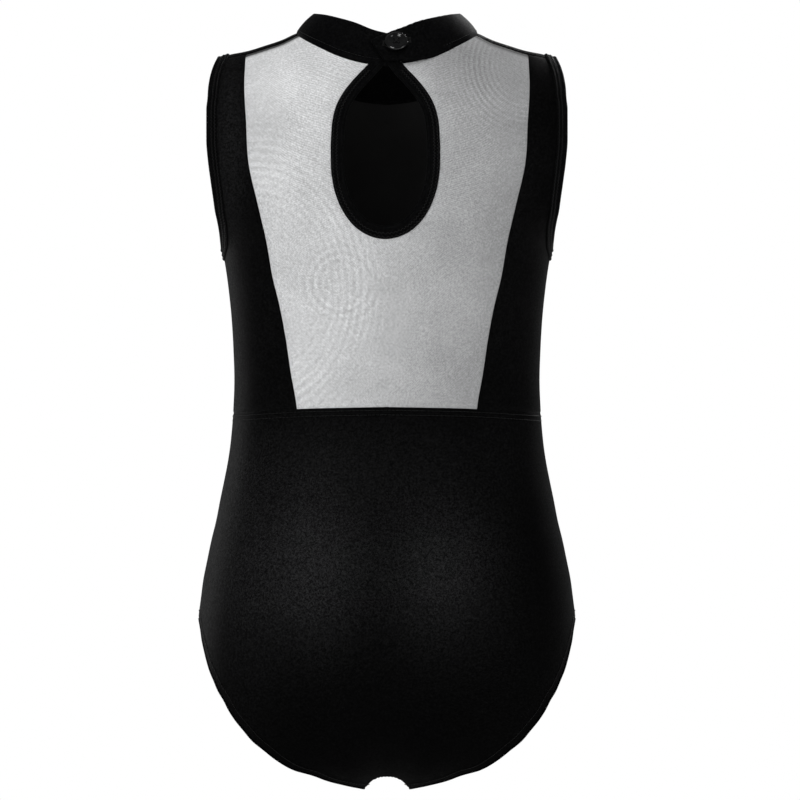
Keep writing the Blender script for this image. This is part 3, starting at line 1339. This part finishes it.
hem_profile = [(1.3, 0.4)]
for k in range(0, 9):
    a = math.pi / 2 + math.pi * k / 8
    hem_profile.append((1.2 + 1.6 * math.cos(a), -1.2 + 1.6 * math.sin(a)))
hem_profile += [(3.2, -2.8), (5.4, -2.78), (7.3, -2.7), (7.7, -2.4), (7.4, -2.05), (5.4, -2.0), (3.2, -2.0)]
for k in range(0, 5):
    a = math.pi * 1.5 - math.pi * k / 4
    hem_profile.append((1.2 + 0.8 * math.cos(a), -1.2 + 0.8 * math.sin(a)))
hem_profile += [(1.3, -0.4)]
loop = leg_loop(420)
m, n = frames(loop, leg_centre, True, 9)
corners = np.stack([crotch_point(np.array(1.0), 0.0), crotch_point(np.array(1.0), 1.0)])
near = np.sqrt(((loop[:, None] - corners[None]) ** 2).sum(-1)).min(1)
reach = 0.42 + 0.58 * smooth((near - 2.0) / 7.0)
ob = strip("left_leg_hem_cloth", loop, m, n, hem_profile, True, KNIT, "knit", reach=reach)
mirrored_copy(ob, "right_leg_hem_cloth", "right_leg_hem")
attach(ob, "garment")
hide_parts("left_leg_hem")
track = Track(loop, m, n, True)
a, b = dashes(track, 6.6, 1.9, 0.55, 0.52)
clear = [np.sqrt(((q.mean(0)[None] - corners) ** 2).sum(-1)).min() > 9.0 for q in a]
a, b = [q for q, c in zip(a, clear) if c], [q for q, c in zip(b, clear) if c]
ob = tubes("left_leg_topstitch", a, b, 0.21, THREAD, "thread", 5)
mirrored_copy(ob, "right_leg_topstitch", "right_leg_hem_stitching")
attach(ob, "garment")
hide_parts("left_leg_hem_stitching")

# teardrop binding, whose two ends run up and cross behind the neck
line = keyhole_line(371.0, 473.0)
line = np.vstack([[[-3.6, 485.2], [-0.9, 481.8], [1.9, 478.2]], line[2:-2], [[0.1, 478.2], [2.9, 481.8], [5.6, 485.2]]])
line = resample(line, 320, False)
bend = line.copy()
for _ in range(40):
    bend[1:-1] = (bend[:-2] + 2 * bend[1:-1] + bend[2:]) / 4
w = smooth((line[:, 1] - 464.0) / 6.0)[:, None]
line = line * (1 - w) + bend * w
path = stack(line[:, 0], depth(1, line[:, 0], line[:, 1]), line[:, 1])
m, n = frames(path, lambda p: [keyhole_centre, p[1], 415.0], False)
left_end = np.arange(len(path)) < len(path) // 2
top = path[:, 2]
tuck = np.where(
    left_end,
    -0.45 * smooth((top - 471.0) / 7.0) - 0.62 * np.maximum(top - 478.8, 0.0),
    0.30 * smooth((top - 468.0) / 9.0) - 0.50 * np.maximum(top - 480.0, 0.0),
)
ob = strip("keyhole_trim", path, m, n, binding_profile, False, extra=tuck, pucker=0.05)
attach(ob, "garment")
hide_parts("keyhole_binding")
short = (path[:, 2] < 471.5)
track = Track(path[short], m[short], n[short], False)
rows = [zigzag(track, e, 0.62, 2.1, 1.24) for e in (4.6, 7.2)]
ob = tubes("keyhole_zigzag", [r[0] for r in rows], [r[1] for r in rows], 0.2, THREAD, "thread", 5)
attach(ob, "garment")
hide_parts("keyhole_binding_stitching")

# ---------------------------------------------------------------------------
# collar
# ---------------------------------------------------------------------------
half_wall = 0.95


def band_section():
    """Closed profile of the doubled band: (h, distance off its middle surface)."""
    out = [(-0.125, 0.30), (-0.06, 0.72), (0.0, 0.90), (0.05, 0.97)]
    out += [(h, half_wall + 0.10 * math.sin(math.pi * h)) for h in (0.12, 0.25, 0.4, 0.55, 0.7, 0.83, 0.90)]
    for k in range(0, 7):
        a = math.pi * k / 6
        out.append((0.935 + 0.05 * math.sin(a), half_wall * math.cos(a)))
    out += [(h, -half_wall) for h in (0.90, 0.75, 0.55, 0.35, 0.18, 0.05)]
    out += [(0.0, -0.8), (-0.06, -0.6), (-0.125, -0.25)]
    return out


def x_line(low, high):
    return lambda h: s_at_x(low * (1 - h) + high * h, h)


split_x = -43.5
under = x_line(-8.0, -12.5)
count = 260
t = np.linspace(0, 1, count)
rings = []
for h, off in band_section():
    sa = float(under(h))
    sb = float(s_at_x(split_x, h)) + 2.0
    s = sa * (1 - t) + sb * t
    rings.append(collar_raw(s, np.full(count, h)) + collar_normal(s, np.full(count, min(max(h, 0.0), 0.97))) * off)
ob = sweep("collar_band_cloth", np.stack(rings, 1), TRIM, "trim", False)
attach(ob, "garment")
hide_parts("collar_band")

# the upper end, with its buttonhole, in (x, 21 h) millimetres
HM = 21.0
button_x, button_h = -6.3, 0.50


def tab_surface(q):
    x, h = q[:, 0], q[:, 1] / HM
    s = s_at_x(x, h)
    p, nn = collar_raw(s, h), collar_normal(s, np.clip(h, 0.0, 0.97))
    return p + nn * lift(x, h)[:, None], nn


def tab_end(h):
    return 2.0 * (1 - h) + 18.0 * h


top_h = 0.985
hs = np.linspace(-0.03, 0.50, 14)
corner = [[tab_end(v), v * HM] for v in hs]
corner += [[10.6, 0.548 * HM], [10.3, 0.572 * HM], [9.5, 0.60 * HM], [7.6, 0.66 * HM], [5.2, 0.735 * HM], [2.6, 0.81 * HM], [0.0, 0.875 * HM], [-3.0, 0.92 * HM],
           [-7.0, 0.945 * HM], [-14.0, 0.958 * HM], [-24.0, 0.972 * HM], [-34.0, top_h * HM]]
outline = np.vstack([[[split_x, -0.125 * HM]], [[-26.0, -0.125 * HM]], [[-18.0, -0.10 * HM]], [[-10.0, -0.05 * HM]], corner, [[split_x, top_h * HM]]])
outline = densify(np.vstack([outline, outline[:1]]), 0.8)
ang = np.linspace(0, 2 * np.pi, 57)
slit = np.stack([button_x + 7.9 * np.cos(ang), button_h * HM + 2.95 * np.sin(ang) * np.abs(np.sin(ang)) ** 0.35], -1)
gx, gh = np.meshgrid(np.arange(split_x, 13, 0.9), np.arange(-1.0, 22.0, 0.9))
gx[1::2] += 0.45
pts = np.stack([gx.ravel(), gh.ravel()], -1)
rings2 = []
for off in (0.3, 0.65):
    for c in (outline, slit):
        for sg in (-1, 1):
            rings2.append(offset_2d(c, off * sg))
rings2 = np.vstack(rings2)
ok = inside(outline, pts[:, 0], pts[:, 1]) & ~inside(slit, pts[:, 0], pts[:, 1])
pts = pts[ok]
pts = pts[distance_to(pts, [outline, slit]) > 1.0]
ok = inside(outline, rings2[:, 0], rings2[:, 1]) & ~inside(slit, rings2[:, 0], rings2[:, 1])
rings2 = rings2[ok]
rings2 = rings2[distance_to(rings2, [outline, slit]) > 0.25]
uv, tris = triangulate(np.vstack([pts, rings2]), [outline, slit])
c = uv[tris].mean(1)
tris = tris[inside(outline, c[:, 0], c[:, 1]) & ~inside(slit, c[:, 0], c[:, 1])]
pos, nrm = tab_surface(uv)
d = distance_to(uv, [outline[outline[:, 0] > split_x + 0.01], slit])
soft = np.sqrt(np.clip(1 - (1 - np.clip(d / 0.95, 0, 1)) ** 2, 0, 1))
end_x = tab_end(uv[:, 1] / HM)
from_end = (end_x - uv[:, 0]) * 0.90
bound = 0.42 * (1 - smooth((from_end - 7.9) / 0.9)) - 0.22 * np.exp(-((from_end - 7.2) / 0.35) ** 2)
pillow = 0.10 * np.sin(np.pi * np.clip(uv[:, 1] / HM, 0, 1))
near_split = smooth((uv[:, 0] - split_x) / 6.0)
upper = soft * (half_wall + pillow) + bound * soft * near_split + 0.03
lower = -soft * half_wall - 0.03
tab = sheet("collar_end_cloth", tris, pos, nrm, upper, lower, uv, TRIM, "trim", 65.0)
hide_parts("collar_buttonhole_end")
hinge = [j for j in frame["joints"] if j["name"] == "closure_fold"][0]
axis = np.array(hinge["axis"], float)
flow = tab_surface(np.array([[-14.0, 0.5 * HM]]))[0][0] - tab_surface(np.array([[-36.0, 0.5 * HM]]))[0][0]
flow = flow - axis * (flow @ axis)
flow = flow / np.linalg.norm(flow)
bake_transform(tab)

# stitched edge of the buttonhole
paths, ups = [], []
count = 92
for k in range(count):
    a = 2 * math.pi * k / count
    e = np.array([math.cos(a), math.sin(a) * abs(math.sin(a)) ** 0.35])
    inner = np.array([7.9, 2.95]) * e
    out = inner + unit(np.array([math.cos(a) * 0.8, math.sin(a) * 1.6])) * 1.55
    f = np.array([0.0, 0.12, 0.5, 0.88, 1.0])[:, None]
    q = np.array([button_x, button_h * HM]) + inner * (1 - f) + out * f
    p, nn = tab_surface(q)
    height = half_wall + 0.10 + np.array([-0.75, 0.04, 0.12, 0.04, -0.2])
    edge = np.array([0.0, 0.0, 0.0, 0.0, 0.0])
    paths.append(p + nn * (height + 0.02)[:, None])
    ups.append(nn)
ob = tubes("buttonhole_satin_stitch", paths, ups, 0.2, THREAD, "thread", 5)
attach(ob, "closure_end")
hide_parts("buttonhole_stitching")
paths, ups = [], []
for sgn in (-1, 1):
    for k in range(7):
        dx = sgn * (8.55 + 0.0 * k)
        y0 = -1.5 + 0.5 * k
        q = np.array([[button_x + sgn * 7.7, button_h * HM + y0], [button_x + sgn * 8.3, button_h * HM + y0], [button_x + sgn * 9.0, button_h * HM + y0], [button_x + sgn * 9.5, button_h * HM + y0]])
        p, nn = tab_surface(q)
        paths.append(p + nn * (half_wall + 0.25 + np.array([0.05, 0.42, 0.42, -0.1]))[:, None])
        ups.append(nn)
ob = tubes("buttonhole_bar_stitches", paths, ups, 0.25, THREAD, "thread", 6)
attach(ob, "closure_end")
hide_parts("buttonhole_bartacks")

# ---------------------------------------------------------------------------
# button
# ---------------------------------------------------------------------------
sb = s_at_x(button_x, button_h)
base = collar_raw(sb, np.array(button_h))
b_axis = collar_normal(sb, np.array(button_h))
bx_ = unit(np.cross(b_axis, [0, 0, 1.0]))
by_ = np.cross(b_axis, bx_)
if by_[2] < 0:
    bx_, by_ = -bx_, -by_
tab_outer = 2.7 + 0.95
button_back = tab_outer + 0.35


def on_button(x, y, h):
    x, y, h = np.broadcast_arrays(x, y, h)
    return base + x[..., None] * bx_ + y[..., None] * by_ + h[..., None] * b_axis


R = 7.6
prof = [(0.0, 0.0), (2.6, 0.0), (3.4, 0.20), (4.4, 0.47), (5.4, 0.71), (R - 1.3, 0.90), (R - 0.75, 1.00), (R - 0.35, 1.15), (R - 0.08, 1.36), (R, 1.55), (R - 0.06, 1.78), (R - 0.30, 2.10),
        (R - 0.70, 2.38), (R - 1.20, 2.57), (R - 1.70, 2.60), (R - 2.15, 2.48), (R - 2.55, 2.22), (R - 2.90, 1.88), (R - 3.30, 1.62), (R - 3.80, 1.52), (2.6, 1.5), (0.0, 1.56)]
seg = 96
verts, faces = [], []
for r_, h_ in prof:
    if r_ == 0.0:
        verts.append([[0, 0, h_]])
    else:
        a = 2 * np.pi * np.arange(seg) / seg
        verts.append(np.stack([r_ * np.cos(a), r_ * np.sin(a), np.full(seg, h_)], -1))
starts = np.cumsum([0] + [len(v) for v in verts])
flatv = np.vstack(verts)
for i in range(len(prof) - 1):
    a0, b0 = int(starts[i]), int(starts[i + 1])
    for k in range(seg):
        j = (k + 1) % seg
        if prof[i][0] == 0.0:
            faces.append([a0, b0 + j, b0 + k])
        elif prof[i + 1][0] == 0.0:
            faces.append([a0 + k, a0 + j, b0])
        else:
            faces.append([a0 + k, a0 + j, b0 + j, b0 + k])
blank = make("button_blank", flatv, faces, BUTTON, "button")
volume_fix(blank)
cv, cf = [], []
for k in range(4):
    a = math.pi / 4 + k * math.pi / 2
    cx, cy = 2.1 * math.cos(a), 2.1 * math.sin(a)
    o = len(cv)
    for h_ in (-1.0, 4.0):
        for i in range(24):
            b = 2 * math.pi * i / 24
            cv.append([cx + 0.75 * math.cos(b), cy + 0.75 * math.sin(b), h_])
    cf.append([o + i for i in range(24)][::-1])
    cf.append([o + 24 + i for i in range(24)])
    cf += [[o + i, o + (i + 1) % 24, o + 24 + (i + 1) % 24, o + 24 + i] for i in range(24)]
drill = make("button_drill", np.array(cv), cf, BUTTON, "button")
mod = blank.modifiers.new("holes", "BOOLEAN")
mod.operation = "DIFFERENCE"
mod.solver = "EXACT"
mod.object = drill
bpy.context.view_layer.update()
done = bpy.data.meshes.new_from_object(blank.evaluated_get(bpy.context.evaluated_depsgraph_get()))
bpy.data.objects.remove(blank)
bpy.data.objects.remove(drill)
place = Matrix([[bx_[0], by_[0], b_axis[0], base[0] * 0.001 + b_axis[0] * button_back * 0.001],
                [bx_[1], by_[1], b_axis[1], base[1] * 0.001 + b_axis[1] * button_back * 0.001],
                [bx_[2], by_[2], b_axis[2], base[2] * 0.001 + b_axis[2] * button_back * 0.001], [0, 0, 0, 1]])
done.transform(place)
if place.determinant() < 0:
    done.flip_normals()
done.polygons.foreach_set("use_smooth", np.ones(len(done.polygons), bool))
done.set_sharp_from_angle(angle=math.radians(40))
if not done.materials:
    done.materials.append(BUTTON)
button = bpy.data.objects.new("collar_button", done)
scene.collection.objects.link(button)
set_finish(button, "button")
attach(button, "button")
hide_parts("button")

# thread through the four holes, and the wound shank
paths, ups = [], []
for a in (math.pi / 4, 3 * math.pi / 4):
    dx, dy = math.cos(a), math.sin(a)
    for off in (-0.32, 0.0, 0.32):
        l = np.array([-2.1, -2.1, -1.7, -0.8, 0.0, 0.8, 1.7, 2.1, 2.1])
        h = np.array([-0.35, 1.3, 1.86, 2.05, 2.12, 2.05, 1.86, 1.3, -0.35]) + (0.12 if a > 1 else 0.0) * np.array([0, 0, 1, 1, 1, 1, 1, 0, 0])
        x = l * dx - off * dy
        y = l * dy + off * dx
        paths.append(on_button(x, y, h + button_back))
        ups.append(np.tile(np.array([bx_ * -dy + by_ * dx]), (len(l), 1)))
ob = tubes("button_cross_thread", paths, ups, 0.17, THREAD, "thread", 6)
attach(ob, "button")
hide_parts("button_thread")
turns = 7
k = np.linspace(0, 1, 7 * 28)
low_h, high_h = half_wall + 1.0, button_back - 0.45
rad = 2.25 + 0.28 * np.cos(2 * np.pi * k)
ang = 2 * np.pi * turns * k
coil = on_button(rad * np.cos(ang), rad * np.sin(ang), low_h + (high_h - low_h) * k)
up = np.tile(b_axis, (len(k), 1))
core_a = 2 * np.pi * np.arange(28) / 28
core = []
for h_ in (low_h - 0.25, (low_h + high_h) / 2, high_h + 0.2):
    core.append(on_button(2.05 * np.cos(core_a), 2.05 * np.sin(core_a), np.full(28, h_)))
ob = tubes("button_shank_wrap", [coil], [up], 0.26, THREAD, "thread", 6)
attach(ob, "shank")
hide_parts("button_shank")
ob = sweep("button_shank_core", np.array(core), THREAD, "thread", False)
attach(ob, "shank")

# ---------------------------------------------------------------------------
# seams
# ---------------------------------------------------------------------------
def row_on(points, closed, stitch, gap, height):
    """Separate stitches along a line of points on the form."""
    n_ = normal(points)
    track = Track(points, n_, n_, closed)
    cnt = int(track.length / (stitch + gap))
    a = track.length * np.arange(cnt) / cnt
    f = np.array([0.0, 0.14, 0.5, 0.86, 1.0])
    s = (a[:, None] + f[None] * stitch).ravel()
    p, _, _ = track.at(s)
    p = project(p)
    nn = normal(p)
    dip = np.tile(np.array([-0.22, 0.04, 0.12, 0.04, -0.22]), cnt)
    q = p + nn * (height + dip)[:, None]
    return list(q.reshape(cnt, 5, 3)), list(nn.reshape(cnt, 5, 3))


def ring_below_waist(drop):
    a = 2 * np.pi * np.arange(720) / 720
    side = np.where(np.cos(a) >= 0, 1, -1)
    z = np.full(720, 250.0)
    for _ in range(8):
        x = half_width(z) * np.sin(a)
        z = waist_seam(np.abs(x)) - drop
    y = np.abs(np.cos(a)) * (1 + fullness * np.sin(a) ** 2) * np.where(side > 0, back_depth(z), front_depth(z))
    return project(stack(x, side * y, z))


P, U = [], []
for drop in (2.2, 5.2):
    a, b = row_on(ring_below_waist(drop), True, 2.0, 0.6, 0.52)
    P += a
    U += b
ob = tubes("waist_twin_stitch", P, U, 0.2, NECK_THREAD, "thread", 5)
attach(ob, "garment")
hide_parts("waist_seam_stitching")

P, U = [], []
for sgn in (1, -1):
    x = np.linspace(65.0, 99.0, 60)
    r_ = ridge_radius(x)
    z = ridge_height(x) - r_ * (1 - np.cos((shoulder_seam_arc - 2.2) / r_))
    a, b = row_on(stack(sgn * x, depth(1, sgn * x, z), z), False, 1.9, 0.55, 0.5)
    P += a
    U += b
ob = tubes("shoulder_topstitch", P, U, 0.2, THREAD, "thread", 5)
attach(ob, "garment")
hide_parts("shoulder_seam_stitching")

# the neck seam is sewn close under the edge of the band
s = np.linspace(float(s_at_x(5.0, 0.0)), float(s_at_x(-24.0, 0.0)) + 2.0, 700)
low = collar_raw(s, np.full(700, 0.075))
nn = collar_normal(s, np.full(700, 0.075))
line = low + nn * (half_wall + 0.02)
track = Track(line, nn, nn, False)
cnt = int(track.length / 2.5)
a = track.length * np.arange(cnt) / cnt
f = np.array([0.0, 0.14, 0.5, 0.86, 1.0])
p, _, q = track.at((a[:, None] + f[None] * 1.9).ravel())
dip = np.tile(np.array([-0.2, 0.02, 0.08, 0.02, -0.2]), cnt)
p = p + q * dip[:, None]
ob = tubes("neck_seam_stitch", list(p.reshape(cnt, 5, 3)), list(q.reshape(cnt, 5, 3)), 0.17, NECK_THREAD, "thread", 5)
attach(ob, "garment")
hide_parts("collar_seam_stitching")

P, U = [], []
for v in (0.07, 0.93):
    u = np.linspace(-0.6, 0.6, 9)
    for a0, a1 in zip(u[:-1], u[1:]):
        uu = a0 + (a1 - a0) * np.array([0.05, 0.15, 0.5, 0.75, 0.85])
        vv = np.full(5, v)
        nn = crotch_normal(uu, vv)
        P.append(crotch_point(uu, vv) + nn * (0.5 + np.array([-0.2, 0.04, 0.1, 0.04, -0.2]))[:, None])
        U.append(nn)
ob = tubes("gusset_stitch", P, U, 0.2, THREAD, "thread", 5)
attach(ob, "garment")
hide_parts("crotch_seam_stitching")

# care label: a folded satin tape, a little curled
low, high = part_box("care_label")
lx0, lx1 = low.x * 1000, high.x * 1000
lz0, lz1 = low.z * 1000, high.z * 1000
nx, nz = 26, 30
X, Z = np.meshgrid(np.linspace(lx0, lx1, nx), np.linspace(lz0, lz1, nz))
tx = (lx1 - X) / (lx1 - lx0)
Y = 0.9 * tx ** 2 * np.sin(np.pi * (Z - lz0) / (lz1 - lz0) * 1.3 + 0.3) + 0.5 * tx ** 3
pos = stack(X.ravel(), Y.ravel(), Z.ravel())
gx_ = np.gradient(pos.reshape(nz, nx, 3), axis=1)
gz_ = np.gradient(pos.reshape(nz, nx, 3), axis=0)
nrm = unit(np.cross(gx_, gz_)).reshape(-1, 3)
idx = np.arange(nx * nz).reshape(nz, nx)
tri = np.vstack([np.stack([idx[:-1, :-1], idx[:-1, 1:], idx[1:, 1:]], -1).reshape(-1, 3), np.stack([idx[:-1, :-1], idx[1:, 1:], idx[1:, :-1]], -1).reshape(-1, 3)])
hemmed = 0.12 * np.exp(-((Z.ravel() - lz0 - 2.5) / 0.5) ** 2) + 0.12 * np.exp(-((lz1 - 2.5 - Z.ravel()) / 0.5) ** 2)
ob = sheet("care_label_tape", tri, pos, nrm, 0.18 + hemmed, -0.18 - hemmed, np.stack([X.ravel(), Z.ravel()], -1), LABEL, "label")
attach(ob, "label")
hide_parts("care_label")

# ---------------------------------------------------------------------------
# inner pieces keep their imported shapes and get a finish
# ---------------------------------------------------------------------------
kept = {
    "front_bodice_lining": LINING, "crotch_lining": LINING, "left_armhole_elastic": ELASTIC, "right_armhole_elastic": ELASTIC,
    "left_leg_elastic": ELASTIC, "right_leg_elastic": ELASTIC, "shoulder_stay_tapes": ELASTIC, "left_side_seam_stitching": THREAD,
    "right_side_seam_stitching": THREAD, "mesh_seam_stitching": THREAD, "care_label_stitching": WHITE_THREAD,
}
for node, mat in kept.items():
    o = frame["nodes"][node]
    o.data.materials.clear()
    o.data.materials.append(mat)

# ---------------------------------------------------------------------------
# floor, light and camera
# ---------------------------------------------------------------------------
def floor_material():
    g = Nodes("pale_floor")
    obj = g.coords()
    x, y, _ = g.split(obj)
    r_ = g.math("SQRT", g.math("ADD", g.math("MULTIPLY", x, x), g.math("MULTIPLY", y, y)))
    far = g.ramp(g.math("MULTIPLY", r_, 0.25), [(0.10, 0.0), (0.42, 1.0)])
    n = g.noise(obj, 3.0, 3.0)
    g.link(g.mix(n, 0.84, 0.88), g.bsdf.inputs["Base Color"])
    g.bsdf.inputs["Roughness"].default_value = 0.75
    g.bsdf.inputs["Specular IOR Level"].default_value = 0.2
    g.link(g.bump(g.noise(obj, 300.0, 2.0), 0.05, 0.0005), g.bsdf.inputs["Normal"])
    glow = g.add("ShaderNodeEmission")
    glow.inputs[0].default_value = (1, 1, 1, 1)
    glow.inputs[1].default_value = 1.0
    mixn = g.add("ShaderNodeMixShader")
    g.link(far, mixn.inputs[0])
    g.link(g.bsdf.outputs[0], mixn.inputs[1])
    g.link(glow.outputs[0], mixn.inputs[2])
    g.link(mixn.outputs[0], g.out.inputs[0])
    return g.mat


floor_z = -32.0
a = 2 * np.pi * np.arange(128) / 128
fv, ff = [[0, 0, floor_z]], []
for i, r_ in enumerate((150.0, 400.0, 900.0, 1700.0, 2600.0, 4000.0)):
    fv += stack(r_ * np.cos(a), r_ * np.sin(a), np.full(128, floor_z)).tolist()
for k in range(128):
    ff.append([0, 1 + k, 1 + (k + 1) % 128])
for i in range(5):
    for k in range(128):
        j = (k + 1) % 128
        ff.append([1 + i * 128 + k, 1 + i * 128 + j, 1 + (i + 1) * 128 + j, 1 + (i + 1) * 128 + k])
me = bpy.data.meshes.new("floor")
me.from_pydata((np.array(fv) * 0.001).tolist(), [], ff)
me.materials.append(floor_material())
floor = bpy.data.objects.new("floor", me)
scene.collection.objects.link(floor)

world = bpy.data.worlds.new("studio")
scene.world = world
world.use_nodes = True
wt = world.node_tree
wt.nodes.clear()
out = wt.nodes.new("ShaderNodeOutputWorld")
mixn = wt.nodes.new("ShaderNodeMixShader")
seen = wt.nodes.new("ShaderNodeBackground")
seen.inputs[0].default_value = (1, 1, 1, 1)
seen.inputs[1].default_value = 1.0
lit = wt.nodes.new("ShaderNodeBackground")
lit.inputs[0].default_value = (0.97, 0.985, 1.0, 1)
lit.inputs[1].default_value = 0.16
path_node = wt.nodes.new("ShaderNodeLightPath")
wt.links.new(path_node.outputs["Is Camera Ray"], mixn.inputs[0])
wt.links.new(lit.outputs[0], mixn.inputs[1])
wt.links.new(seen.outputs[0], mixn.inputs[2])
wt.links.new(mixn.outputs[0], out.inputs[0])


def area(name, place, target, size, power, colour=(1, 1, 1)):
    light = bpy.data.lights.new(name, "AREA")
    light.shape = "RECTANGLE"
    light.size, light.size_y = size
    light.energy = power
    light.color = colour
    o = bpy.data.objects.new(name, light)
    scene.collection.objects.link(o)
    o.location = place
    o.rotation_mode = "QUATERNION"
    o.rotation_quaternion = (Vector(target) - Vector(place)).to_track_quat("-Z", "Y")
    o.visible_camera = False
    return o


area("key", (0.95, 1.9, 1.35), (0.0, 0.0, 0.28), (0.9, 1.1), 23.0)
area("fill", (-1.5, 1.5, 0.6), (0.0, 0.0, 0.28), (0.8, 1.2), 7.5)
area("top", (0.0, 0.15, 2.3), (0.0, 0.0, 0.0), (1.8, 1.8), 30.0)
area("front_key", (-0.9, -1.9, 1.4), (0.0, 0.0, 0.28), (0.9, 1.1), 20.0)
area("front_fill", (1.5, -1.5, 0.5), (0.0, 0.0, 0.28), (0.8, 1.2), 8.0)

for o in scene.objects:
    if o.type == "LIGHT" and o.name.startswith("top"):
        o.visible_glossy = False

camera = bpy.data.cameras.new("camera")
camera.sensor_width = 36.0
distance = 20.0
camera.lens = 36.0 * distance / 0.528
camera.clip_start, camera.clip_end = 0.1, 60.0
cam = bpy.data.objects.new("camera", camera)
scene.collection.objects.link(cam)
cam.location = (-0.0086, distance, 0.2567)
cam.rotation_euler = (math.radians(90), 0.0, math.radians(180))
scene.camera = cam
scene.view_settings.view_transform = "Standard"
